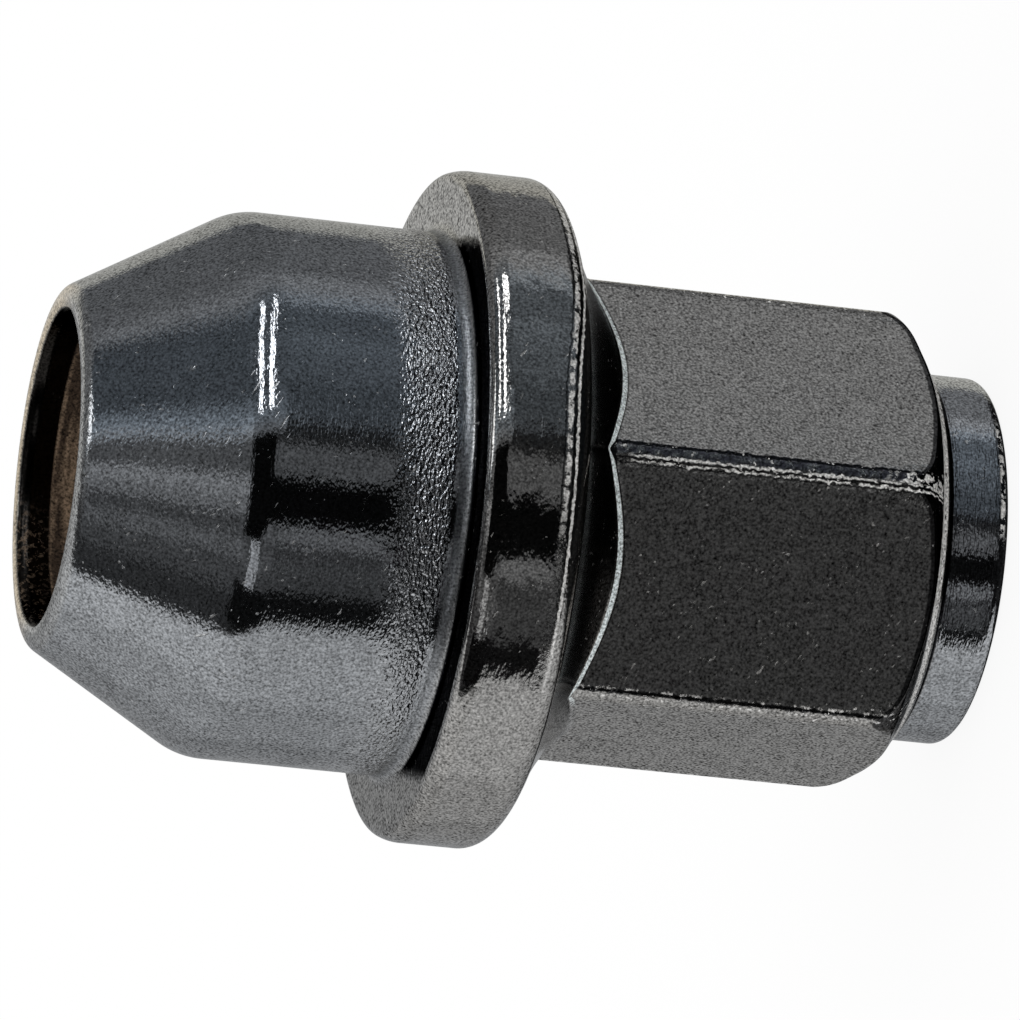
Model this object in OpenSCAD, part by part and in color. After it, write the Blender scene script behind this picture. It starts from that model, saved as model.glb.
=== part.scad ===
// Flanged wheel lug nut with a 60 degree conical seat, a round shank and a closed end boss.
// It stands on its closed end: z = 0 is the end face of the boss and +Z points out of the mouth.

/* [Hex] */
// Wrench size, across the flats
hex_across_flats = 22; // [20:0.5:24]
// Length of the flats, from the shoulder at the boss to the sloping back of the flange
hex_h = 17.2; // [14:0.1:24]
// Radius along the six long edges
hex_edge_r = 0.5; // [0.4:0.1:1.6]
// Radius that rounds the end of the hex down to the boss
hex_end_r = 3.4; // [2:0.1:5]

/* [Closed end] */
// Diameter of the round boss
boss_d = 18.8; // [17.5:0.1:20]
// Height of the boss, up to the shoulder of the hex
boss_h = 3.2; // [1.5:0.1:6]
// Radius on the outer edge of the boss
boss_edge_r = 0.6; // [0.3:0.1:1.2]
// Thickness of solid metal under the tip of the drilled hole
end_wall = 4.3; // [3:0.1:8]

/* [Flange] */
// Diameter of the flange
flange_d = 34.1; // [31:0.1:38]
// Height of the flange rim, before its edges are rounded
rim_h = 4.9; // [3.4:0.1:7]
// Rise of the sloping back, from the flats of the hex to the rim
neck_h = 3.5; // [2.5:0.1:6]
// Radius of the hollow in the sloping back
neck_hollow_r = 16; // [8:0.5:40]
// Radius on the edge of the rim towards the seat
rim_front_r = 1; // [0.4:0.1:1.4]
// Radius on the edge of the rim towards the hex
rim_back_r = 1.3; // [0.6:0.1:2.6]

/* [Shank and seat] */
// Diameter of the round shank
shank_d = 27.6; // [27:0.1:29]
// Height of the shank, from the flange to the corner where the cone starts
shank_h = 10.5; // [8:0.1:16]
// Radius at the root of the shank
shank_root_r = 0.6; // [0.3:0.1:1.3]
// Radius that blends the shank into the cone
shoulder_r = 4; // [1:0.1:6]
// Full angle of the conical seat
seat_angle = 60; // [56:1:62]
// Height of the cone, from the corner at the shank to the mouth face
seat_h = 8.2; // [7:0.1:8.6]
// Radius on the outer edge of the mouth
mouth_edge_r = 0.9; // [0.3:0.1:1.2]

/* [Hole] */
// Nominal diameter of the thread
thread_d = 14; // [12:0.5:14.5]
// Pitch of the thread
thread_pitch = 1.5; // [1:0.25:1.75]
// Diameter of the plain lead-in behind the mouth
lead_d = 15.7; // [15:0.1:16.2]
// Depth of the plain lead-in
lead_h = 6; // [4:0.1:12]
// Full angle of the cone between the lead-in and the thread
lead_cone_angle = 90; // [60:5:120]
// Chamfer on the inner edge of the mouth
mouth_chamfer = 0.3; // [0.1:0.1:0.4]
// Full angle of the drill point that ends the hole
drill_angle = 118; // [90:1:140]

/* [Hidden] */
$fn = 96;
// Points on each round stretch of the outline
arc_steps = 8;
// A cut runs this far past the face that it opens
past = 1;

hex_r = hex_across_flats / 2;
// The radius on each long edge is struck from this distance from the axis
hex_edge_at = (hex_r - hex_edge_r) / cos(30);
hex_corner_r = hex_edge_at + hex_edge_r;
boss_r = boss_d / 2;
rim_r = flange_d / 2;
shank_r = shank_d / 2;
lead_r = lead_d / 2;
// Height of the ridges of a metric internal thread, as a share of the triangle that is one pitch wide
ridge_share = 5 / 8;
core_r = thread_d / 2 - ridge_share * cos(30) * thread_pitch;

// Levels along the axis
z_neck = boss_h + hex_h;
z_rim = z_neck + neck_h;
z_face = z_rim + rim_h;
z_shoulder = z_face + shank_h;
z_mouth = z_shoulder + seat_h;
z_lead = z_mouth - lead_h;
z_core = z_lead - (lead_r - core_r) / tan(lead_cone_angle / 2);
z_drill = end_wall + core_r / tan(drill_angle / 2);

mouth_r = shank_r - seat_h * tan(seat_angle / 2);

// Circle of the hollow back: it passes through the flats at z_neck and the corner of the rim at z_rim
neck_low = [hex_r, z_neck];
rim_low = [rim_r, z_rim];
neck_chord = rim_low - neck_low;
neck_depth = sqrt(pow(neck_hollow_r, 2) - pow(norm(neck_chord) / 2, 2));
hollow_middle = (neck_low + rim_low) / 2 + neck_depth * unit([neck_chord.y, -neck_chord.x]);
// The hollow goes on inside the hex, halfway from the flats to the boss
hollow_in_x = (hex_r + boss_r) / 2;
hollow_in_y = hollow_middle.y + sqrt(pow(neck_hollow_r, 2) - pow(hollow_middle.x - hollow_in_x, 2));
hollow_in = [hollow_in_x, hollow_in_y];
// Circle that rounds the back edge of the rim, touching the hollow and the rim
edge_x = rim_r - rim_back_r;
edge_y = hollow_middle.y + sqrt(pow(neck_hollow_r + rim_back_r, 2) - pow(hollow_middle.x - edge_x, 2));
edge_middle = [edge_x, edge_y];
hollow_out = hollow_middle + neck_hollow_r * unit(edge_middle - hollow_middle);

function unit(v) = v / norm(v);

// Points of the shorter arc round a middle, from the point a to the point b
function arc(middle, a, b) =
    let (u = a - middle,
         v = b - middle,
         start = atan2(u.y, u.x),
         turn = atan2(u.x * v.y - u.y * v.x, u * v))
    [for (i = [0:arc_steps])
        middle + norm(u) * [cos(start + turn * i / arc_steps), sin(start + turn * i / arc_steps)]];

// Points of an arc of radius r that rounds the corner at p, between the points a and b of an outline
function rounded(a, p, b, r) =
    let (u = unit(a - p),
         v = unit(b - p),
         half = acos(u * v) / 2)
    arc(p + unit(u + v) * r / sin(half), p + u * r / tan(half), p + v * r / tan(half));

// Outline of everything that was turned: boss, core of the hex, flange, shank and seat
module turned_outline() {
    axis_low = [0, 0];
    boss_low = [boss_r, 0];
    boss_top = [boss_r, hollow_in_y];
    rim_top = [rim_r, z_face];
    root = [shank_r, z_face];
    shoulder = [shank_r, z_shoulder];
    mouth = [mouth_r, z_mouth];
    axis_top = [0, z_mouth];
    polygon(concat(
        [axis_low],
        rounded(axis_low, boss_low, boss_top, boss_edge_r),
        [boss_top],
        arc(hollow_middle, hollow_in, hollow_out),
        arc(edge_middle, hollow_out, [rim_r, edge_y]),
        rounded(rim_low, rim_top, root, rim_front_r),
        rounded(rim_top, root, shoulder, shank_root_r),
        rounded(root, shoulder, mouth, shoulder_r),
        rounded(shoulder, mouth, axis_top, mouth_edge_r),
        [axis_top]));
}

// Hexagon with flats towards -Y and +Y and rounded corners
module hex_outline() {
    polygon([for (i = [0:5], side = [-30, 30])
        hex_edge_at * [cos(60 * i), sin(60 * i)]
            + hex_edge_r * [cos(60 * i + side), sin(60 * i + side)]]);
    for (i = [0:5])
        rotate(60 * i)
            translate([hex_edge_at, 0])
                circle(r = hex_edge_r);
}

// Round bar that trims the hex, with its lower end rounded down to the boss
module hex_end_outline() {
    axis_low = [0, boss_h];
    corner_low = [hex_corner_r, boss_h];
    corner_top = [hex_corner_r, z_rim];
    axis_top = [0, z_rim];
    polygon(concat(
        [axis_low],
        rounded(axis_low, corner_low, corner_top, hex_end_r),
        [corner_top, axis_top]));
}

// The hexagon bar runs up into the flange, so that the sloping back closes round it
module hex_bar() {
    intersection() {
        linear_extrude(z_rim)
            hex_outline();
        rotate_extrude()
            hex_end_outline();
    }
}

// Hole from the mouth: chamfer, plain lead-in, cone, thread core and drill point
module hole_outline() {
    chamfer_r = lead_r + mouth_chamfer;
    polygon([
        [0, end_wall],
        [core_r, z_drill],
        [core_r, z_core],
        [lead_r, z_lead],
        [lead_r, z_mouth - mouth_chamfer],
        [chamfer_r, z_mouth],
        [chamfer_r, z_mouth + past],
        [0, z_mouth + past]]);
}

module lug_nut() {
    color([0.36, 0.36, 0.38])
        difference() {
            union() {
                rotate_extrude()
                    turned_outline();
                hex_bar();
            }
            rotate_extrude()
                hole_outline();
        }
}

lug_nut();
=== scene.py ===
import math

import bpy
import numpy as np
from mathutils import Matrix, Vector


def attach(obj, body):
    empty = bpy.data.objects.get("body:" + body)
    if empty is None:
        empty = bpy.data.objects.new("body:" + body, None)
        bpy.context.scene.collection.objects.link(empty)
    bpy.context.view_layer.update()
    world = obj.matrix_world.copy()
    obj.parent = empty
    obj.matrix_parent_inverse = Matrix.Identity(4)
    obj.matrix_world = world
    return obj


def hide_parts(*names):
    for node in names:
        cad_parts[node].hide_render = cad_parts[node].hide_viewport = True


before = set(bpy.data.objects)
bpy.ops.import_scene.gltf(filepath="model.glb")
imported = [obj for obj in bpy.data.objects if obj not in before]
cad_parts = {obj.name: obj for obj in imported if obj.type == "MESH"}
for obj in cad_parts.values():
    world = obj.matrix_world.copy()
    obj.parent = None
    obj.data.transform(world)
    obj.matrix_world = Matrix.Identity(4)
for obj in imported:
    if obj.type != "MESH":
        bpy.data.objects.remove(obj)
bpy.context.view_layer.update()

# All lengths are in metres. The nut stands on its closed end: z = 0 is the end face, +Z is out of the mouth.
MM = 0.001
MICRON = 0.000001

# Closed end and hex
BOSS_R = 9.4 * MM
BOSS_TOP = 3.2 * MM
BOSS_EDGE_R = 0.6 * MM
BOSS_ROOT_R = 0.22 * MM
HEX_R = 11.0 * MM
HEX_EDGE_R = 1.1 * MM
# Arc that rounds the end of the hex: its radius, and how far its middle is from the axis
HEX_END_R = 3.4 * MM
HEX_END_X = 9.22 * MM
# The crease between the rounded end and the flats is eased by this much
HEX_EASE = 0.015 * MM
# Low step next to the boss: its height, and the radii between which it rises and falls
END_STEP = 0.36 * MM
END_STEP_RISE = (9.75 * MM, 10.5 * MM)
END_STEP_FALL = (12.4 * MM, 11.3 * MM)
# Level rings of the flats, from the rounded end to the hollow back
HEX_END_TOP = 7.0 * MM
HEX_TOP = 18.8 * MM

# Flange: the hollow back is an arc round (HOLLOW_X, HOLLOW_Z)
HOLLOW_R = 16.0 * MM
HOLLOW_X = 21.844 * MM
HOLLOW_Z = 8.634 * MM
HOLLOW_TOP = 23.608 * MM
# The flats blend into the hollow back over this depth, in rings up to this far on each side of the crease
NECK_BLEND = 0.4 * MM
NECK_REACH = 0.65 * MM
RIM_R = 17.05 * MM
# Back edge of the rim: its arc starts at this angle in degrees, where it touches the hollow
RIM_BACK_R = 1.3 * MM
RIM_BACK_Z = 24.825 * MM
RIM_BACK_START = -69.4
# Front edge of the rim: a wide worn radius up to this tilt in degrees, then a sharper one
RIM_WORN_R = 2.0 * MM
RIM_WORN_TILT = 24
RIM_FRONT_R = 0.5 * MM
FACE_Z = 28.8 * MM

# Shank, seat and mouth
SHANK_R = 13.8 * MM
ROOT_R = 0.6 * MM
SHOULDER_R = 4.0 * MM
SHOULDER_Z = 38.228 * MM
SEAT_HALF_ANGLE = math.radians(30)
MOUTH_R = 9.066 * MM
MOUTH_Z = 47.5 * MM
MOUTH_EDGE_R = 0.9 * MM

# Hole
LEAD_R = 7.85 * MM
LEAD_Z = 41.5 * MM
CHAMFER = 0.3 * MM
CORE_R = 6.188 * MM
CORE_TOP = 39.838 * MM
DRILL_Z = 8.018 * MM
DRILL_TIP = 4.3 * MM
THREAD_R = 7.0 * MM
PITCH = 1.5 * MM
# The thread's corners are eased, and its ridges rise and die out over a part of a turn at each end
THREAD_EASE = 0.04 * MM
THREAD_TOP = CORE_TOP - 0.2 * MM
RUN_START = 0.4
RUN_TURNS = 0.8

# The camera looks at the nut from 13 degrees above the horizon and is rolled on its side
CAMERA_AZIMUTH = math.radians(12.585)
CAMERA_ELEVATION = math.radians(13.15)
CAMERA_ROLL = math.radians(6.01)
CAMERA_LENS = 317.49
CAMERA_SENSOR = 36
CAMERA_AIM_Z = 25.5 * MM
CAMERA_OFFSET = Vector((-1.844, 0.063, 454.93)) * MM

# Directions in the plan: towards the camera, and towards the top of the picture
TO_CAMERA = Vector((math.sin(CAMERA_AZIMUTH), -math.cos(CAMERA_AZIMUTH), 0))
TO_TOP = Vector((math.cos(CAMERA_AZIMUTH), math.sin(CAMERA_AZIMUTH), 0))
UP = Vector((0, 0, 1))


def arc_points(x, z, r, start, end, steps):
    """Points (radius, height) on an arc round (x, z), from one angle to another in degrees."""
    angles = np.radians(np.linspace(start, end, steps + 1))
    return [(x + r * math.cos(a), z + r * math.sin(a)) for a in angles]


def line_points(start, end, steps):
    """Points (radius, height) on a straight stretch, without its two ends."""
    shares = np.linspace(0, 1, steps + 1)[1:-1]
    return [(start[0] + (end[0] - start[0]) * s, start[1] + (end[1] - start[1]) * s) for s in shares]


def column_angles():
    """Angles of the columns of the grid, closer together at the six edges of the hex."""
    near = np.concatenate([np.linspace(0, 2, 11), np.linspace(2, 4.6, 7)[1:]])
    far = np.linspace(4.6, 30, 17)[1:]
    half = np.concatenate([near, far])
    sector = np.concatenate([half, 60 - half[-2:0:-1]])
    return np.radians(np.concatenate([sector + 60 * i for i in range(6)]))


def fade(values, nothing, whole):
    """0 at one value and 1 at the other, with a smooth run between."""
    share = np.clip((values - nothing) / (whole - nothing), 0, 1)
    return share * share * (3 - 2 * share)


def smooth_min(a, b, k):
    """The lower of two values, rounded over a depth where they meet."""
    h = np.clip(0.5 + 0.5 * (b - a) / k, 0, 1)
    return b + (a - b) * h - k * h * (1 - h)


def smooth_max(a, b, k):
    """The higher of two values, rounded over a depth where they meet."""
    return -smooth_min(-a, -b, k)


def hex_radius(angles, edge_r):
    """Distance from the axis to the hex outline with rounded corners, in each direction."""
    from_corner = (angles + math.pi / 6) % (math.pi / 3) - math.pi / 6
    flat = HEX_R / np.cos(math.pi / 6 - np.abs(from_corner))
    middle = (HEX_R - edge_r) / math.cos(math.pi / 6)
    inside = np.maximum(edge_r ** 2 - (middle * np.sin(from_corner)) ** 2, 0)
    corner = middle * np.cos(from_corner) + np.sqrt(inside)
    touch = math.atan2(edge_r * math.sin(math.pi / 6), middle + edge_r * math.cos(math.pi / 6))
    return np.where(np.abs(from_corner) < touch, corner, flat)


def hollow_radius(z):
    """Radius of the hollow sloping back of the flange at a height."""
    return HOLLOW_X - np.sqrt(HOLLOW_R ** 2 - (z - HOLLOW_Z) ** 2)


def lower_outline():
    """Outline from the middle of the end face up to the shoulder of the hex."""
    points = [(r * MM, 0.0) for r in (2, 4.5, 7, 8.3)]
    points += arc_points(BOSS_R - BOSS_EDGE_R, BOSS_EDGE_R, BOSS_EDGE_R, -90, 0, 6)
    corner = (BOSS_R, BOSS_TOP - BOSS_ROOT_R)
    points += line_points(points[-1], corner, 7)
    points += arc_points(BOSS_R + BOSS_ROOT_R, BOSS_TOP - BOSS_ROOT_R, BOSS_ROOT_R, 180, 90, 4)
    return points


def hollow_height(r):
    """Height at which the hollow sloping back has a radius."""
    return HOLLOW_Z + np.sqrt(HOLLOW_R ** 2 - (HOLLOW_X - r) ** 2)


def end_height(r):
    """Height of the rounded end of the hex at a radius, with a low step next to the boss."""
    rounding = BOSS_TOP + HEX_END_R - np.sqrt(HEX_END_R ** 2 - (r - HEX_END_X) ** 2)
    return rounding + END_STEP * fade(r, *END_STEP_RISE) * fade(r, *END_STEP_FALL)


def hex_rings(angles):
    """Rings (radii, heights) from the end of the hex to the rim, in line with the creases of the flats."""
    outline = hex_radius(angles, HEX_EDGE_R)
    rings = []
    # The rounded end starts a little past the root radius of the boss
    start = math.asin((BOSS_R + BOSS_ROOT_R - HEX_END_X) / HEX_END_R) + 0.02
    crease = np.arcsin((outline - HEX_END_X) / HEX_END_R)
    for share in np.append(np.linspace(0, 0.985, 18), 1):
        a = start + (crease - start) * share
        ease = HEX_EASE if share == 1 else 0
        radius = HEX_END_X + HEX_END_R * np.sin(a)
        rings.append((radius - ease, end_height(radius)))
    crease_z = rings[-1][1]
    for share in (0.01, 0.05, 0.2, 0.5, 1):
        rings.append((outline, crease_z + (HEX_END_TOP - crease_z) * share))
    for z in np.linspace(HEX_END_TOP, HEX_TOP, 9)[1:]:
        rings.append((outline, z))
    scallop_z = hollow_height(outline)
    for step in np.linspace(-NECK_REACH, NECK_REACH, 18):
        z = scallop_z + step
        rings.append((smooth_max(outline, hollow_radius(z), NECK_BLEND), z))
    last_z = rings[-1][1]
    for share in np.linspace(0, 1, 15)[1:-1]:
        z = last_z + (HOLLOW_TOP - last_z) * share
        rings.append((hollow_radius(z), z))
    return rings


def upper_outline():
    """Outline from the back edge of the rim over the flange, the shank and the seat into the mouth."""
    points = arc_points(RIM_R - RIM_BACK_R, RIM_BACK_Z, RIM_BACK_R, RIM_BACK_START, 0, 9)
    tilt = math.radians(RIM_WORN_TILT)
    sharp_z = FACE_Z - RIM_FRONT_R
    front_z = sharp_z - (RIM_WORN_R - RIM_FRONT_R) * math.sin(tilt)
    points += line_points(points[-1], (RIM_R, front_z), 9)
    points += arc_points(RIM_R - RIM_WORN_R, front_z, RIM_WORN_R, 0, RIM_WORN_TILT, 8)
    sharp_r = RIM_R - RIM_WORN_R + (RIM_WORN_R - RIM_FRONT_R) * math.cos(tilt)
    points += arc_points(sharp_r, sharp_z, RIM_FRONT_R, RIM_WORN_TILT, 90, 8)[1:]
    root = (SHANK_R + ROOT_R, FACE_Z)
    points += line_points(points[-1], root, 5)
    points += arc_points(SHANK_R + ROOT_R, FACE_Z + ROOT_R, ROOT_R, 270, 180, 6)
    points += line_points(points[-1], (SHANK_R, SHOULDER_Z), 20)
    points += arc_points(SHANK_R - SHOULDER_R, SHOULDER_Z, SHOULDER_R, 0, 30, 12)
    reach = MOUTH_EDGE_R / math.tan(math.radians(60))
    cone_end = (MOUTH_R + reach * math.sin(SEAT_HALF_ANGLE), MOUTH_Z - reach * math.cos(SEAT_HALF_ANGLE))
    points += line_points(points[-1], cone_end, 18)
    points += arc_points(MOUTH_R - reach, MOUTH_Z - MOUTH_EDGE_R, MOUTH_EDGE_R, 30, 90, 7)
    return points


def mouth_outline():
    """Outline of the plain lead-in, from the chamfer at the mouth down to the thread."""
    points = [(LEAD_R + CHAMFER, MOUTH_Z)]
    points += line_points(points[0], (LEAD_R, MOUTH_Z - CHAMFER), 3)
    points += [(LEAD_R, MOUTH_Z - CHAMFER)]
    points += line_points(points[-1], (LEAD_R, LEAD_Z), 12)
    points += [(LEAD_R, LEAD_Z)]
    points += line_points(points[-1], (CORE_R, CORE_TOP), 5)
    return points


class Grid:
    """Collects the corners and faces of the mesh, ring by ring."""

    def __init__(self):
        self.corners = []
        self.faces = []
        self.rings = []

    def ring(self, radii, angles, z):
        """Adds a closed ring of corners; radii and z may be one number or one for each angle."""
        start = len(self.corners)
        radii = np.broadcast_to(radii, angles.shape)
        heights = np.broadcast_to(z, angles.shape)
        self.corners += list(zip(radii * np.cos(angles), radii * np.sin(angles), heights))
        self.rings.append(np.arange(start, start + len(angles)))
        return self.rings[-1]

    def join(self, low, high):
        """Faces between two rings, where the first may have a whole multiple of the second's corners."""
        step = len(low) // len(high)
        n = len(high)
        for j in range(n):
            k = (j + 1) % n
            between = [int(low[(j * step + i) % len(low)]) for i in range(step + 1)]
            self.faces.append(between + [int(high[k]), int(high[j])])


def thread_profile():
    """Share of a pitch and radius along one turn of the thread, with its corners eased."""
    low = CORE_R + THREAD_EASE
    high = THREAD_R - THREAD_EASE
    return [(0.02, CORE_R), (0.23, CORE_R), (0.27, low), (0.545, high),
            (0.58, THREAD_R), (0.67, THREAD_R), (0.705, high), (0.98, low)]


def add_thread(grid, top_ring, angles):
    """A right-hand thread cut into the wall of the hole, between the lead-in and the drill point."""
    profile = thread_profile()
    per_turn = len(profile)
    turns = int((CORE_TOP - DRILL_Z) / PITCH) - 1
    count = len(angles)
    start = len(grid.corners)
    rows = turns * per_turn
    for k in range(rows):
        share, radius = profile[k % per_turn]
        along = k // per_turn + share
        for j in range(count):
            turn = along + j / count
            run_in = max(0.0, (turn - RUN_START) / RUN_TURNS)
            run_out = max(0.0, (turns + RUN_START - turn) / RUN_TURNS)
            r = CORE_R + (radius - CORE_R) * min(1.0, run_in, run_out)
            z = THREAD_TOP - turn * PITCH
            grid.corners.append((r * math.cos(angles[j]), r * math.sin(angles[j]), z))

    def at(k, j):
        return start + k * count + j

    for k in range(rows - 1):
        for j in range(count - 1):
            grid.faces.append([at(k, j), at(k, j + 1), at(k + 1, j + 1), at(k + 1, j)])
        if k + 1 + per_turn < rows:
            grid.faces.append([at(k, count - 1), at(k + per_turn, 0),
                               at(k + 1 + per_turn, 0), at(k + 1, count - 1)])
    for j in range(count - 1):
        grid.faces.append([int(top_ring[j]), int(top_ring[j + 1]), at(0, j + 1), at(0, j)])
    seam = [at(k, 0) for k in range(per_turn + 1)]
    grid.faces.append([int(top_ring[-1]), int(top_ring[0])] + seam + [at(0, count - 1)])
    low = grid.ring(CORE_R, angles, DRILL_Z)
    for j in range(count - 1):
        grid.faces.append([at(rows - 1, j), at(rows - 1, j + 1), int(low[j + 1]), int(low[j])])
    seam = [at(k, count - 1) for k in range(rows - 1 - per_turn, rows)]
    grid.faces.append([at(rows - 1, 0)] + seam + [int(low[-1]), int(low[0])])
    return low


def build_nut():
    """The whole nut as one closed mesh."""
    grid = Grid()
    angles = column_angles()
    middle = len(grid.corners)
    grid.corners.append((0.0, 0.0, 0.0))
    for r, z in lower_outline():
        grid.ring(r, angles, z)
    for radii, z in hex_rings(angles):
        grid.ring(radii, angles, z)
    for r, z in upper_outline():
        grid.ring(r, angles, z)
    first = grid.rings[0]
    for j in range(len(first)):
        grid.faces.append([middle, int(first[(j + 1) % len(first)]), int(first[j])])
    for low, high in zip(grid.rings[:-1], grid.rings[1:]):
        grid.join(low, high)

    inner = angles[::4]
    last = grid.rings[-1]
    for r, z in mouth_outline():
        ring = grid.ring(r, inner, z)
        grid.join(last, ring)
        last = ring
    ring = grid.ring(CORE_R, inner, CORE_TOP)
    grid.join(last, ring)
    last = add_thread(grid, ring, inner)
    for share in (0.35, 0.7, 0.93):
        ring = grid.ring(CORE_R * (1 - share), inner, DRILL_Z + (DRILL_TIP - DRILL_Z) * share)
        grid.join(last, ring)
        last = ring
    tip = len(grid.corners)
    grid.corners.append((0.0, 0.0, DRILL_TIP))
    for j in range(len(last)):
        grid.faces.append([int(last[j]), int(last[(j + 1) % len(last)]), tip])

    mesh = bpy.data.meshes.new("nut_body")
    mesh.from_pydata(grid.corners, [], grid.faces)
    mesh.validate()
    mesh.polygons.foreach_set("use_smooth", [True] * len(mesh.polygons))
    mesh.update()
    nut = bpy.data.objects.new("nut_body", mesh)
    bpy.context.collection.objects.link(nut)
    return nut


class Nodes:
    """Short ways to add the nodes of one material."""

    def __init__(self, name):
        self.material = bpy.data.materials.new(name)
        self.material.use_nodes = True
        self.tree = self.material.node_tree

    def put(self, socket, value):
        """Links another node's output to a socket, or sets a plain value."""
        if isinstance(value, bpy.types.NodeSocket):
            self.tree.links.new(value, socket)
        else:
            socket.default_value = value

    def add(self, kind, **settings):
        """A new node with the given settings."""
        node = self.tree.nodes.new(kind)
        for name, value in settings.items():
            setattr(node, name, value)
        return node

    def math(self, operation, a, b=0.0):
        """The result of one sum on one or two values."""
        node = self.add("ShaderNodeMath", operation=operation)
        self.put(node.inputs[0], a)
        self.put(node.inputs[1], b)
        return node.outputs[0]

    def less(self, a, b):
        """The first value less the second."""
        return self.math("SUBTRACT", a, b)

    def total(self, *values):
        """All the values added."""
        result = values[0]
        for value in values[1:]:
            result = self.math("ADD", result, value)
        return result

    def times(self, *values):
        """All the values multiplied."""
        result = values[0]
        for value in values[1:]:
            result = self.math("MULTIPLY", result, value)
        return result

    def highest(self, *values):
        """The highest of the values."""
        result = values[0]
        for value in values[1:]:
            result = self.math("MAXIMUM", result, value)
        return result

    def scaled(self, vector, scale, turn=(0, 0, 0)):
        """A place turned and then stretched, for noise that runs along one direction."""
        turned = self.add("ShaderNodeMapping")
        self.put(turned.inputs["Vector"], vector)
        turned.inputs["Rotation"].default_value = turn
        node = self.add("ShaderNodeMapping")
        self.put(node.inputs["Vector"], turned.outputs["Vector"])
        node.inputs["Scale"].default_value = scale
        return node.outputs["Vector"]

    def noise(self, vector, size, detail=1.0, rough=0.5):
        """Noise from about 0 to 1 with blobs of the given size."""
        node = self.add("ShaderNodeTexNoise")
        self.put(node.inputs["Vector"], vector)
        node.inputs["Scale"].default_value = 1 / size
        node.inputs["Detail"].default_value = detail
        node.inputs["Roughness"].default_value = rough
        return node.outputs["Fac"]

    def steps(self, value, nothing, whole):
        """0 at one value and 1 at the other, with a smooth run between."""
        node = self.add("ShaderNodeMapRange", interpolation_type="SMOOTHSTEP")
        self.put(node.inputs["Value"], value)
        node.inputs["From Min"].default_value = nothing
        node.inputs["From Max"].default_value = whole
        return node.outputs["Result"]

    def between(self, value, low, high, soft):
        """1 between two values and 0 outside them, with soft ends."""
        above = self.steps(value, low - soft, low + soft)
        below = self.steps(value, high + soft, high - soft)
        return self.times(above, below)

    def pair(self, value, first, second, soft):
        """1 on each of two stretches (low, high) and 0 outside them, with soft ends."""
        return self.highest(self.between(value, *first, soft), self.between(value, *second, soft))

    def mix(self, share, a, b):
        """A colour a share of the way from one to another."""
        node = self.add("ShaderNodeMix", data_type="RGBA")
        self.put(node.inputs["Factor"], share)
        self.put(node.inputs["A"], a)
        self.put(node.inputs["B"], b)
        return node.outputs["Result"]


# Sizes of the noise in the finish
GRAIN_SIZE = 0.13 * MM
CHIP_SIZE = 0.34 * MM
BURNISH_SIZE = 0.3 * MM
RIM_WEAR_SIZE = 0.55 * MM
SCRATCH_SIZE = 0.15 * MM
SCRATCH_GROUP_SIZE = 2.2 * MM
FLECK_SIZE = 0.25 * MM
WAVE_SIZE = 1.5 * MM
PEBBLE_SIZE = 0.26 * MM
TURNING_SIZE = 0.6 * MM
CLOUD_SIZE = 1.3 * MM
BLOTCH_SIZE = 0.3 * MM
BAND_SIZE = 0.6 * MM
# Distance between the turning marks on the seat
GROOVE_PITCH = 0.23 * MM
# Ragged marks stray from their line by up to about half of this
RAGGED = 0.45 * MM

# Colours of the finish
FLAT_PLATE = (0.415, 0.4, 0.376, 1)
TURNED_PLATE = (0.39, 0.399, 0.407, 1)
RIM_PLATE = (0.45, 0.436, 0.414, 1)
BOSS_LIT_PLATE = (0.56, 0.57, 0.58, 1)
PEBBLE_LIT_PLATE = (0.64, 0.64, 0.64, 1)
PEBBLE_PIT_SHADE = (0.05, 0.05, 0.05, 1)
EDGE_DARK_REFLECTION = (0.15, 0.14, 0.155, 1)
NEAR_LIP = (0.5, 0.5, 0.49, 1)
FAR_LIP = (0.62, 0.53, 0.4, 1)
# Colour of the painted shade and painted dark reflections
PAINTED_DARK = (0.018, 0.018, 0.02, 1)
BARE_METAL_AND_HIGHLIGHT = (0.66, 0.65, 0.63, 1)
CREASE_HIGHLIGHT = (0.68, 0.74, 0.74, 1)
BORE_SHADE = (0.02, 0.018, 0.016, 1)
DARK_RUST = (0.055, 0.037, 0.025, 1)
LIGHT_RUST = (0.23, 0.162, 0.108, 1)
# How much of a grazing reflection the plating and the painted dark places keep
PLATE_SHEEN = 0.88
PAINTED_DARK_SHEEN = (0.3, 0.3, 0.3, 1)


def scratch(n, place, turn):
    """Short thin scratches that run one way."""
    lines = n.noise(n.scaled(place, (1, 1, 0.13), turn), SCRATCH_SIZE, 0)
    return n.steps(lines, 0.73, 0.82)


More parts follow.
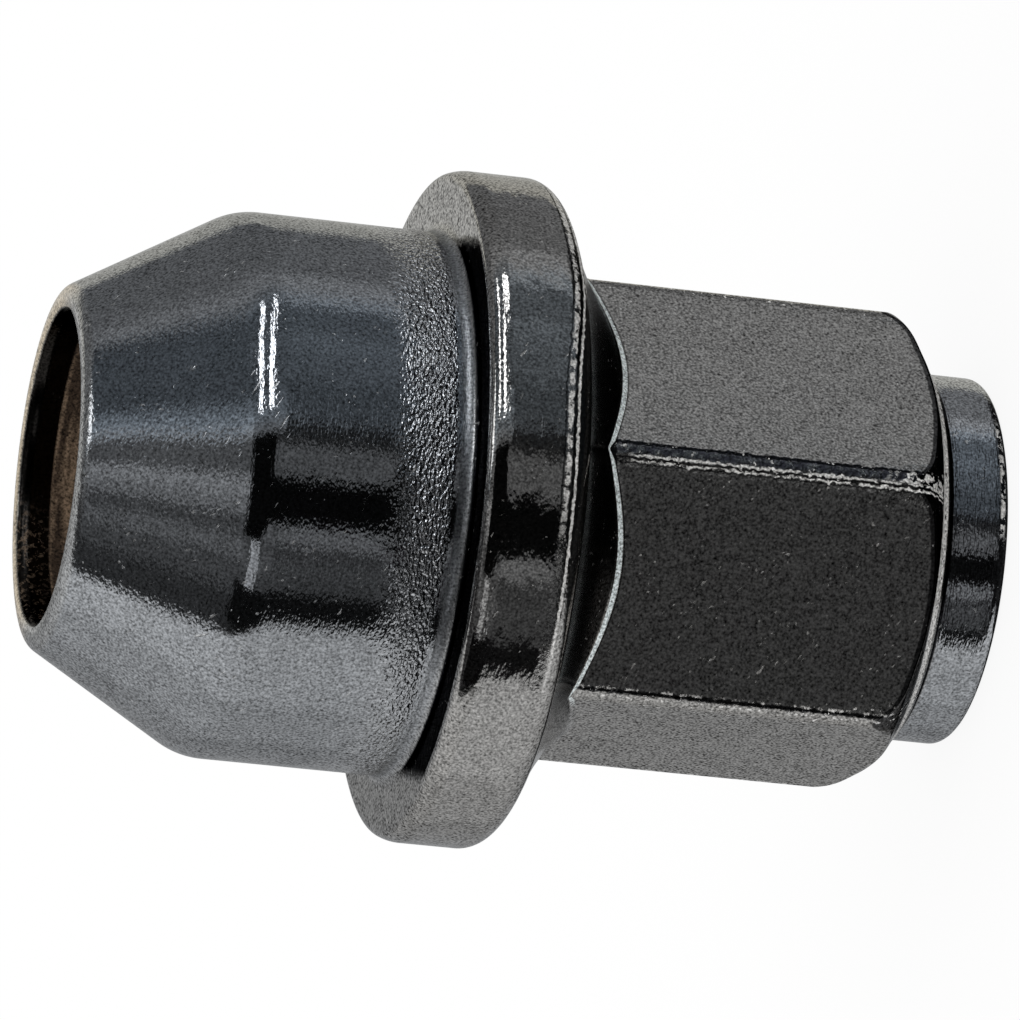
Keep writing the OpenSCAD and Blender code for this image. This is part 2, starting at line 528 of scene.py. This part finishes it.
def plating():
    """Dark bright plating with turning marks, pebbled steel by the flange, scuffed edges and a rusty bore."""
    n = Nodes("plated_steel")
    place = n.add("ShaderNodeTexCoord").outputs["Object"]
    parts = n.add("ShaderNodeSeparateXYZ")
    n.put(parts.inputs["Vector"], place)
    x, y, z = parts.outputs
    r = n.math("SQRT", n.total(n.times(x, x), n.times(y, y)))
    along_top = n.total(n.times(x, TO_TOP.x), n.times(y, TO_TOP.y))
    along_front = n.total(n.times(x, TO_CAMERA.x), n.times(y, TO_CAMERA.y))
    upper = n.steps(along_top, -6 * MM, -2 * MM)
    lower = n.steps(along_top, -1 * MM, -4 * MM)
    far_side = n.steps(y, -2 * MM, 3 * MM)

    # Place on the hex: across the nearest long edge, out from the flats, and up from the rounded end
    sector = n.math("FLOORED_MODULO", n.total(n.math("ARCTAN2", y, x), math.pi / 6), math.pi / 3)
    from_edge = n.less(sector, math.pi / 6)
    side = n.times(from_edge, r)
    apart = n.math("ABSOLUTE", side)
    from_flat = n.less(math.pi / 6, n.math("ABSOLUTE", from_edge))
    outline = n.math("DIVIDE", HEX_R, n.math("COSINE", from_flat))
    proud = n.less(r, outline)
    reach = n.less(r, HEX_END_X)
    rounding = n.math("SQRT", n.less(HEX_END_R ** 2, n.times(reach, reach)))
    end_step = n.times(n.steps(r, *END_STEP_RISE), n.steps(r, *END_STEP_FALL), END_STEP)
    past_end = n.less(n.total(z, rounding), n.total(BOSS_TOP + HEX_END_R, end_step))

    # Noise that several marks share
    grain = n.noise(place, GRAIN_SIZE)
    chips = n.noise(place, CHIP_SIZE, 3, 0.6)
    chip_height = n.less(chips, 0.5)
    ragged = n.times(chip_height, RAGGED)
    edge_side = n.total(side, ragged)

    # Where each finish lies
    inside = n.times(n.steps(r, 8.12 * MM, 7.98 * MM), n.steps(z, 2 * MM, 3 * MM))
    outside = n.less(1.0, inside)
    seat_side = n.times(n.steps(z, FACE_Z - 0.2 * MM, FACE_Z + 0.5 * MM), outside)
    on_rim = n.times(n.steps(r, 16.6 * MM, 17.0 * MM), n.steps(z, 28.1 * MM, 27.7 * MM))
    on_boss = n.steps(z, 3.1 * MM, 2.9 * MM)
    turned = n.highest(seat_side, on_boss)
    on_flat = n.less(1.0, n.highest(turned, on_rim))
    pebble = n.times(n.steps(z, 29.65 * MM, 30.05 * MM), n.steps(z, 33.4 * MM, 30.8 * MM), outside)
    shoulder = n.between(z, 38.4 * MM, 40.2 * MM, 0.1 * MM)
    fillet = n.times(n.between(z, 28.95 * MM, 29.55 * MM, 0.1 * MM),
                     n.between(r, 13 * MM, 14.3 * MM, 0.1 * MM))
    front_edge = n.times(n.steps(r, 15.9 * MM, 16.2 * MM), n.between(z, 28.0 * MM, 28.75 * MM, 0.1 * MM))
    lip = n.times(n.steps(z, MOUTH_Z - 0.5 * MM, MOUTH_Z - 0.15 * MM), outside)
    on_hex = n.times(n.between(z, 3.4 * MM, 21.5 * MM, 0.1 * MM),
                     n.between(r, 10.8 * MM, 12.7 * MM, 0.08 * MM),
                     n.steps(proud, 0.1 * MM, 0.02 * MM))

    # Two of the long edges are worn by the wrench, and the other four are spared
    driven = n.between(x, 3.7 * MM, 9.5 * MM, 0.8 * MM)
    worn = n.times(on_hex, driven)
    spared = n.times(on_hex, n.less(1.0, driven))
    near_end = n.steps(z, 8.5 * MM, 5 * MM)
    edge_reach = n.less(apart, n.times(near_end, 0.45 * MM))
    hex_scuff = n.times(on_hex, n.steps(edge_reach, 0.75 * MM, 0.45 * MM))

    # Worn streaks, painted dark bands and a painted highlight line run round the back edge of the rim, and
    # lie lower at the top of the picture
    on_back = n.times(n.steps(r, 16.0 * MM, 16.2 * MM), n.steps(z, 26 * MM, 25.6 * MM))
    worn_top = n.times(n.steps(along_top, 6 * MM, 12.5 * MM), 0.6 * MM)
    back_z = n.total(z, worn_top, n.times(ragged, 0.6))
    back_upper = n.steps(along_top, -3 * MM, 2 * MM)
    rim_scuff = n.times(on_back, n.between(back_z, 24.3 * MM, 25.1 * MM, 0.1 * MM))

    # Painted shade and painted dark reflections: at the root of the shank, in the hollow back, in the step by
    # the boss, and in fine dark lines
    # Painted dark reflection on the flange face at the root of the shank, only on the side towards the camera
    root = n.times(n.between(z, FACE_Z - 0.2 * MM, FACE_Z + 0.12 * MM, 0.05 * MM),
                   n.between(r, SHANK_R + 0.15 * MM, SHANK_R + 2.5 * MM, 0.08 * MM),
                   n.steps(n.total(n.math("ABSOLUTE", along_top), ragged), 13.85 * MM, 12.95 * MM),
                   n.steps(along_front, 2 * MM, 4.5 * MM))
    # Painted dark reflection in the hollow back, left off towards the bottom of the picture
    hollow_painted_dark = n.times(n.between(z, 19.6 * MM, 24.0 * MM, 0.2 * MM),
                     n.steps(r, 16.45 * MM, 16.2 * MM),
                     n.steps(proud, 0.2 * MM, 0.34 * MM),
                     n.steps(along_top, -11 * MM, -8 * MM))
    # Painted shade in the step next to the boss
    step = n.times(n.between(z, 3.0 * MM, 3.34 * MM, 0.04 * MM), n.between(r, 9 * MM, 9.95 * MM, 0.04 * MM))
    # Painted dark reflection along the rounded end of the hex, left off towards the bottom of the picture
    end_painted_dark = n.times(on_hex,
                     n.steps(n.total(past_end, n.times(ragged, 0.5)), 0.34 * MM, 0.26 * MM),
                     n.steps(along_top, -9.2 * MM, -8.6 * MM))
    # Painted dark reflections: ragged dark lines beside the long edges of the hex
    edge_painted_dark_line = n.times(worn, n.between(edge_side, 0.42 * MM, 0.62 * MM, 0.03 * MM))
    edge_painted_dark_gaps = n.times(worn, n.pair(edge_side, (-0.33 * MM, -0.25 * MM), (-0.57 * MM, -0.51 * MM), 0.02 * MM))
    spared_edge_painted_dark = n.times(spared, n.between(edge_side, 0.26 * MM, 0.46 * MM, 0.02 * MM))
    # Painted dark reflections: two dark bands on the back edge of the rim, on its upper side
    rim_painted_dark_bands = n.pair(back_z, (25.06 * MM, 25.15 * MM), (24.57 * MM, 24.69 * MM), 0.03 * MM)
    rim_painted_dark = n.times(on_back, rim_painted_dark_bands, back_upper)
    # All the painted shade and painted dark reflections together
    painted_dark = n.highest(root, n.times(hollow_painted_dark, 0.87), step, n.times(end_painted_dark, 0.85), edge_painted_dark_line,
                       n.times(spared_edge_painted_dark, 0.9), n.times(edge_painted_dark_gaps, 0.8), n.times(rim_painted_dark, 0.8))

    # Bare metal: two ragged lines and a crumpled end on the worn edges, burrs on the spared ones, worn
    # streaks on the rim, chips and scratches; and painted highlights: a line on the rim, glints on the boss,
    # the crease by the hollow back and the ring by the boss
    lines = n.pair(edge_side, (-0.22 * MM, -0.08 * MM), (-0.47 * MM, -0.37 * MM), 0.03 * MM)
    broken = n.noise(n.scaled(place, (1, 1, 0.5)), BURNISH_SIZE)
    burnish = n.times(worn, lines, n.steps(broken, 0.34, 0.44), n.steps(z, 20.9 * MM, 20.3 * MM))
    crumple = n.times(worn,
                      n.steps(z, 8.2 * MM, 6 * MM),
                      n.between(side, -0.1 * MM, 0.55 * MM, 0.1 * MM),
                      n.steps(chips, 0.48, 0.54))
    burr_lines = n.pair(edge_side, (0.08 * MM, 0.2 * MM), (0.5 * MM, 0.6 * MM), 0.03 * MM)
    burrs = n.times(spared, burr_lines, n.steps(chips, 0.5, 0.56))
    # Painted highlight: a light line on the back edge of the rim, towards the top of the picture
    rim_highlight_line = n.times(on_back,
                       n.between(back_z, 24.38 * MM, 24.52 * MM, 0.03 * MM),
                       n.steps(along_top, -9.5 * MM, -6.5 * MM))
    rim_wear = n.noise(place, RIM_WEAR_SIZE, 4, 0.65)
    rim_streak = n.times(on_back,
                         n.between(back_z, 24.73 * MM, 25.0 * MM, 0.04 * MM),
                         n.steps(rim_wear, 0.42, 0.5),
                         back_upper)
    # Painted glints along the edge of the boss, on its upper front part only
    boss_glints = n.times(n.between(z, 0.26 * MM, 0.52 * MM, 0.06 * MM),
                        n.steps(r, 8.9 * MM, 9.0 * MM),
                        n.between(along_top, 1.5 * MM, 7 * MM, 0.6 * MM),
                        n.steps(chips, 0.46, 0.52))
    edge_chips = n.times(hex_scuff, n.steps(chips, 0.63, 0.68))
    # Painted highlight along the crease by the hollow back, left off towards the bottom of the picture
    crease = n.times(n.between(z, 19.6 * MM, 21.9 * MM, 0.1 * MM),
                     n.between(proud, 0.025 * MM, 0.17 * MM, 0.012 * MM),
                     n.steps(r, 13.2 * MM, 13 * MM),
                     n.steps(along_top, -9.3 * MM, -8.6 * MM))
    # Painted highlight: a light ring on the hex end by the boss
    ring = n.times(n.between(r, 10.1 * MM, 10.72 * MM, 0.05 * MM),
                   n.between(z, 3.3 * MM, 4.1 * MM, 0.05 * MM),
                   n.steps(chips, 0.3, 0.4))
    groups = n.noise(place, SCRATCH_GROUP_SIZE, 1)
    scratches = n.total(n.times(scratch(n, place, (0.9, 0.5, 0)), n.steps(groups, 0.55, 0.64)),
                        n.times(scratch(n, place, (-0.6, 0.9, 0.4)), n.steps(groups, 0.45, 0.36)))
    bare_and_highlights = n.highest(edge_chips, rim_highlight_line, n.times(rim_streak, 0.9), boss_glints, ring, burnish, crumple,
                     n.times(burrs, 0.8), crease, n.times(scratches, 0.35))

    # Relief, in metres
    around = n.scaled(place, (1, 1, 2.2))
    flecks = n.noise(around, FLECK_SIZE, 1)
    fleck_height = n.total(2 * MICRON, n.times(turned, 11 * MICRON), n.times(on_rim, 5 * MICRON),
                           n.times(front_edge, 2.5 * MICRON), n.times(shoulder, -8 * MICRON))
    waves = n.noise(around, WAVE_SIZE, 2)
    wave_height = n.total(9 * MICRON, n.times(on_rim, 40 * MICRON))
    grooves = n.math("SINE", n.times(n.total(z, n.times(waves, 0.3 * MM)), 2 * math.pi / GROOVE_PITCH))
    turning = n.noise(n.scaled(place, (1, 1, 7)), TURNING_SIZE, 1)
    pebbles = n.noise(n.scaled(place, (1, 1, 1.7)), PEBBLE_SIZE, 1)
    pebble_height = n.total(100 * MICRON, n.times(upper, 140 * MICRON))
    hex_dents = n.times(hex_scuff, n.total(25 * MICRON, n.times(driven, 45 * MICRON)))
    dents = n.total(hex_dents, n.times(rim_scuff, 45 * MICRON), n.times(lip, 30 * MICRON))
    height = n.total(n.times(grain, 1.5 * MICRON),
                     n.times(flecks, fleck_height),
                     n.times(waves, wave_height),
                     n.times(grooves, seat_side, 0.5 * MICRON),
                     n.times(turning, on_boss, 14 * MICRON),
                     n.times(n.less(pebbles, 0.5), pebble, pebble_height),
                     n.times(chip_height, dents),
                     n.times(scratches, -6 * MICRON))
    bump = n.add("ShaderNodeBump")
    bump.inputs["Strength"].default_value = 1.0
    bump.inputs["Distance"].default_value = 1.0
    n.put(bump.inputs["Height"], height)

    # Colour: plating, then painted shade and dark reflections, then bare metal and painted highlights
    plate = n.mix(turned, FLAT_PLATE, TURNED_PLATE)
    plate = n.mix(on_rim, plate, RIM_PLATE)
    # Painted light: the boss is lighter on its upper side
    plate = n.mix(n.times(on_boss, upper), plate, BOSS_LIT_PLATE)
    # Pebbled band painted lighter as painted highlight, most on its upper side, with its pits painted dark as
    # shade
    plate = n.mix(n.times(pebble, n.total(0.3, n.times(upper, 0.6))), plate, PEBBLE_LIT_PLATE)
    plate = n.mix(n.times(pebble, n.steps(pebbles, 0.36, 0.3)), plate, PEBBLE_PIT_SHADE)
    # Painted dark reflection: a purplish dark band along the worn edges of the hex
    edge_dark_reflection = n.times(worn, n.between(edge_side, -0.05 * MM, 0.45 * MM, 0.04 * MM), n.steps(chips, 0.62, 0.4))
    plate = n.mix(edge_dark_reflection, plate, EDGE_DARK_REFLECTION)
    plate = n.mix(lip, plate, n.mix(far_side, NEAR_LIP, FAR_LIP))
    plate = n.mix(painted_dark, plate, PAINTED_DARK)
    plate = n.mix(bare_and_highlights, plate, BARE_METAL_AND_HIGHLIGHT)
    plate = n.mix(crease, plate, CREASE_HIGHLIGHT)

    # The bore is painted black with shade by the mouth and brown with rust further in
    blotches = n.noise(place, BLOTCH_SIZE, 3, 0.65)
    crust = n.times(lower, n.steps(blotches, 0.5, 0.62), 0.4)
    deep = n.steps(z, MOUTH_Z - 1.65 * MM, MOUTH_Z - 1.8 * MM)
    rust = n.times(n.highest(deep, crust), inside)
    bands = n.noise(n.scaled(place, (0.08, 0.08, 1)), BAND_SIZE)
    stains = n.total(n.times(blotches, 0.3), n.times(bands, 0.7))
    plate = n.mix(inside, plate, BORE_SHADE)
    plate = n.mix(rust, plate, n.mix(n.steps(stains, 0.4, 0.6), DARK_RUST, LIGHT_RUST))

    # Fine grain over all of it, strongest on the flats
    flat_grain = n.times(on_flat, n.less(grain, 0.5), 0.7)
    shade = n.total(-0.45, n.times(grain, 2.6), flat_grain, n.times(n.noise(place, CLOUD_SIZE, 2), 0.3))
    tint = n.add("ShaderNodeVectorMath", operation="SCALE")
    n.put(tint.inputs[0], plate)
    n.put(tint.inputs["Scale"], shade)
    sheen = n.add("ShaderNodeCombineXYZ")
    sheen_level = n.times(shade, PLATE_SHEEN)
    for socket in sheen.inputs:
        n.put(socket, sheen_level)

    scuff = n.highest(hex_scuff, rim_scuff)
    rough = n.total(0.055, n.times(scuff, 0.06), n.times(bare_and_highlights, 0.3), n.times(lip, 0.12),
                    n.times(inside, 0.12), n.times(rust, 0.5), n.times(hollow_painted_dark, 0.13), n.times(fillet, 0.28))
    dull = n.highest(n.times(rust, 0.9), n.times(bare_and_highlights, 0.55), n.times(lip, far_side, 0.6))
    painted_dark_and_bore = n.highest(painted_dark, inside)

    shader = n.tree.nodes["Principled BSDF"]
    n.put(shader.inputs["Metallic"], n.less(1.0, dull))
    n.put(shader.inputs["Base Color"], tint.outputs["Vector"])
    n.put(shader.inputs["Roughness"], rough)
    n.put(shader.inputs["Specular Tint"], n.mix(painted_dark_and_bore, sheen.outputs["Vector"], PAINTED_DARK_SHEEN))
    n.put(shader.inputs["Normal"], bump.outputs["Normal"])
    return n.material


# The studio that the metal mirrors, as cards: where each starts, in degrees from the camera towards the
# top of the picture, and how bright it is. The low and high cards are two rows behind the camera.
LOW_CARDS = [
    (-180, 0.01), (-41.5, 0.075), (-33, 0.085), (-28.5, 0.066), (-21.5, 0.2), (-13.5, 0.004), (6, 0.13),
    (20, 0.025), (29, 0.09), (46, 0.14), (59, 0.18), (69, 0.14), (83, 0.34), (100, 0.2)]
HIGH_CARDS = [
    (-180, 0.05), (-51, 0.1), (-34, 0.18), (-24, 0.1), (-13, 0.24), (-4, 0.34), (6, 0.14), (24, 0.38),
    (34, 0.24), (42, 0.11), (84, 0.08), (91, 0.22), (107, 0.16)]
TABLE_CARDS = [
    (-180, 0.34), (-157, 0.36), (-130, 0.46), (-100, 0.57), (-20, 0.5), (100, 0.45), (140, 0.48)]
CARD_JOINT = 3

# Brightness of single things in the studio
BLACK_CLOTH = 0.008
BLACK_CARD = 0.004
GREY_CARD = 0.5
WHITE_CARD = 1.7
LAMP_STRIP = 4.0

# Sphere that carries the cards, and the floor
TENT_R = 0.3
TENT_Z = 25 * MM
FLOOR_REACH = 2.5
# Share of the floor's white that is its own and takes no shadow
FLOOR_GLOW = 0.9


def ramp(value, nothing, whole):
    """0 at one value and 1 at the other, with a smooth run between, for a single number."""
    share = min(1.0, max(0.0, (value - nothing) / (whole - nothing)))
    return share * share * (3 - 2 * share)


def towards(start, end, share):
    """A number a share of the way from one value to another."""
    return start + (end - start) * share


def card_tone(turn, cards):
    """Brightness at a turn, with smooth joints between the cards."""
    level = cards[0][1]
    for start, value in cards[1:]:
        level = towards(level, value, ramp(turn, start - CARD_JOINT / 2, start + CARD_JOINT / 2))
    return level


def room_tone(turn, rise):
    """The dark room behind the camera: cards in two rows, black cloth, two lamp strips and a white card."""
    low = card_tone(turn, LOW_CARDS)
    high = card_tone(turn, HIGH_CARDS)
    in_front = -14 - 7 * ramp(rise, 4, 14) < turn < 23
    middle = BLACK_CARD if in_front else 0.5 * (low + high)
    if -42 < turn < -22 and 12 < rise < 24:
        middle = GREY_CARD
    if -62 < turn < -42:
        middle = BLACK_CLOTH
    room = towards(low, middle, ramp(rise, 2, 8) if in_front else ramp(rise, -8, -2))
    room = towards(room, high, ramp(rise, 34, 39))
    room = towards(room, BLACK_CLOTH, ramp(rise, -22, -32))
    cool = 0.1 * ramp(turn, 20, 34) * ramp(turn, 96, 80)

    # The strips hang at two heights, and sink and get narrower towards the top of the picture
    lift = rise + 11 * ramp(turn, 52, 92)
    half_width = 2.4 - 0.9 * ramp(turn, 55, 72)
    if 34 < turn < 85 and min(abs(lift - 14), abs(lift - 27.5)) < half_width:
        room = LAMP_STRIP
        cool = 0.0
    if 30 < turn < 80 and 58 < rise < 76:
        room = WHITE_CARD
        cool = 0.0
    return (room * (0.97 - cool), room, room * (1.05 + cool))


def table_tone(front, top, turn, rise):
    """The lit table under and behind the nut, a little warm towards the top of the picture."""
    table = card_tone(turn, TABLE_CARDS)
    table = table + (0.06 * ramp(rise, -5, 15) + 0.08 * ramp(rise, 25, 40)) * ramp(turn, -60, -70)
    back = 0.32 + 0.24 * ramp(top, -0.01, 0.025)
    table = towards(table, back, ramp(-front, 0.8, 0.9) * ramp(rise, 2, 9))
    table = table * (1 - 0.97 * ramp(rise, -26, -36) * ramp(top, -0.36, -0.24))
    warm = ramp(top, -0.2, 0.4) * ramp(rise, -60, -30)
    return (table * (0.98 + 0.05 * warm), table * (1 + 0.02 * warm), table * (1.03 - 0.08 * warm))


def studio_tone(direction):
    """Light that the studio sends from a direction, as a colour."""
    front = direction.dot(TO_CAMERA)
    top = direction.dot(TO_TOP)
    rise = math.degrees(math.asin(max(-1.0, min(1.0, direction.z))))
    turn = math.degrees(math.atan2(top, front))
    # The edge of the table: a plane tilted towards the camera, with a corner under the nut
    edge = -0.01 - 0.32 * ramp(top, -0.05, 0.1) * ramp(rise, -85, -70)
    side = 0.81 * front + 0.506 * top + 0.294 * direction.z
    on_table = ramp(side, edge + 0.03, edge - 0.03)
    room = room_tone(turn, rise)
    table = table_tone(front, top, turn, rise)
    return tuple(towards(a, b, on_table) for a, b in zip(room, table))


def glossy_only(thing):
    """Only mirror reflections show this: it lights nothing and the camera doesn't see it."""
    thing.visible_camera = False
    thing.visible_diffuse = False
    thing.visible_transmission = False
    thing.visible_volume_scatter = False
    thing.visible_shadow = False


def build_tent():
    """The studio as the metal mirrors it: a sphere of cards round the nut."""
    turns = np.radians(np.arange(0, 360, 1.0))
    rises = np.radians(np.arange(-89, 90, 1.0))
    corners = [(0, 0, -TENT_R)]
    for h in rises:
        level = TENT_R * math.cos(h)
        for t in turns:
            corners.append((level * math.cos(t), level * math.sin(t), TENT_R * math.sin(h)))
    corners.append((0, 0, TENT_R))
    n = len(turns)
    faces = []
    for i in range(len(rises) - 1):
        for j in range(n):
            k = (j + 1) % n
            faces.append((1 + i * n + j, 1 + i * n + k, 1 + (i + 1) * n + k, 1 + (i + 1) * n + j))
    top = len(corners) - 1
    for j in range(n):
        k = (j + 1) % n
        faces.append((0, 1 + k, 1 + j))
        faces.append((top, top - n + j, top - n + k))
    mesh = bpy.data.meshes.new("studio_tent")
    mesh.from_pydata(corners, [], faces)
    colours = [studio_tone(Vector(p).normalized()) + (1.0,) for p in corners]
    tone = mesh.attributes.new("tone", "FLOAT_COLOR", "POINT")
    tone.data.foreach_set("color", np.array(colours, np.float32).ravel())
    material = bpy.data.materials.new("studio_cards")
    material.use_nodes = True
    tree = material.node_tree
    tree.nodes.remove(tree.nodes["Principled BSDF"])
    paint = tree.nodes.new("ShaderNodeAttribute")
    paint.attribute_name = "tone"
    glow = tree.nodes.new("ShaderNodeEmission")
    tree.links.new(paint.outputs["Color"], glow.inputs["Color"])
    tree.links.new(glow.outputs["Emission"], tree.nodes["Material Output"].inputs["Surface"])
    material.cycles.emission_sampling = "NONE"
    mesh.materials.append(material)
    tent = bpy.data.objects.new("studio_tent", mesh)
    tent.location = (0, 0, TENT_Z)
    bpy.context.collection.objects.link(tent)
    glossy_only(tent)


def build_floor():
    """White paper with the nut's soft shadow."""
    mesh = bpy.data.meshes.new("floor")
    far = FLOOR_REACH
    mesh.from_pydata([(-far, -far, 0), (far, -far, 0), (far, far, 0), (-far, far, 0)], [], [(0, 1, 2, 3)])
    material = bpy.data.materials.new("white_floor")
    material.use_nodes = True
    tree = material.node_tree
    tree.nodes.remove(tree.nodes["Principled BSDF"])
    paper = tree.nodes.new("ShaderNodeBsdfDiffuse")
    paper.inputs["Color"].default_value = (1, 1, 1, 1)
    glow = tree.nodes.new("ShaderNodeEmission")
    mix = tree.nodes.new("ShaderNodeMixShader")
    mix.inputs["Fac"].default_value = FLOOR_GLOW
    tree.links.new(paper.outputs["BSDF"], mix.inputs[1])
    tree.links.new(glow.outputs["Emission"], mix.inputs[2])
    tree.links.new(mix.outputs["Shader"], tree.nodes["Material Output"].inputs["Surface"])
    material.cycles.emission_sampling = "NONE"
    mesh.materials.append(material)
    floor = bpy.data.objects.new("floor", mesh)
    bpy.context.collection.objects.link(floor)
    floor.visible_glossy = False


def build_world():
    """Plain white light from all round."""
    world = bpy.data.worlds.new("studio")
    world.use_nodes = True
    background = world.node_tree.nodes["Background"]
    background.inputs["Color"].default_value = (1, 1, 1, 1)
    background.inputs["Strength"].default_value = 1.0
    bpy.context.scene.world = world


def build_camera():
    """The photo's view: the nut lies on its side in the picture, with its mouth to the left."""
    right = (-math.cos(CAMERA_ELEVATION) * math.cos(CAMERA_ROLL) * UP + math.sin(CAMERA_ROLL) * TO_TOP
             + math.sin(CAMERA_ELEVATION) * math.cos(CAMERA_ROLL) * TO_CAMERA)
    down = (-math.cos(CAMERA_ELEVATION) * math.sin(CAMERA_ROLL) * UP - math.cos(CAMERA_ROLL) * TO_TOP
            + math.sin(CAMERA_ELEVATION) * math.sin(CAMERA_ROLL) * TO_CAMERA)
    ahead = -math.sin(CAMERA_ELEVATION) * UP - math.cos(CAMERA_ELEVATION) * TO_CAMERA
    place = (Vector((0, 0, CAMERA_AIM_Z)) - CAMERA_OFFSET.x * right - CAMERA_OFFSET.y * down
             - CAMERA_OFFSET.z * ahead)
    data = bpy.data.cameras.new("camera")
    data.lens = CAMERA_LENS
    data.sensor_width = CAMERA_SENSOR
    data.clip_start = 0.01
    camera = bpy.data.objects.new("camera", data)
    axes = Matrix((right, -down, -ahead)).transposed()
    camera.matrix_world = Matrix.Translation(place) @ axes.to_4x4()
    bpy.context.collection.objects.link(camera)
    bpy.context.scene.camera = camera


bpy.context.scene.view_settings.view_transform = "Standard"
build_camera()
build_world()
build_floor()
build_tent()
nut = build_nut()
nut.data.materials.append(plating())
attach(nut, "root")
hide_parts("lug_nut")
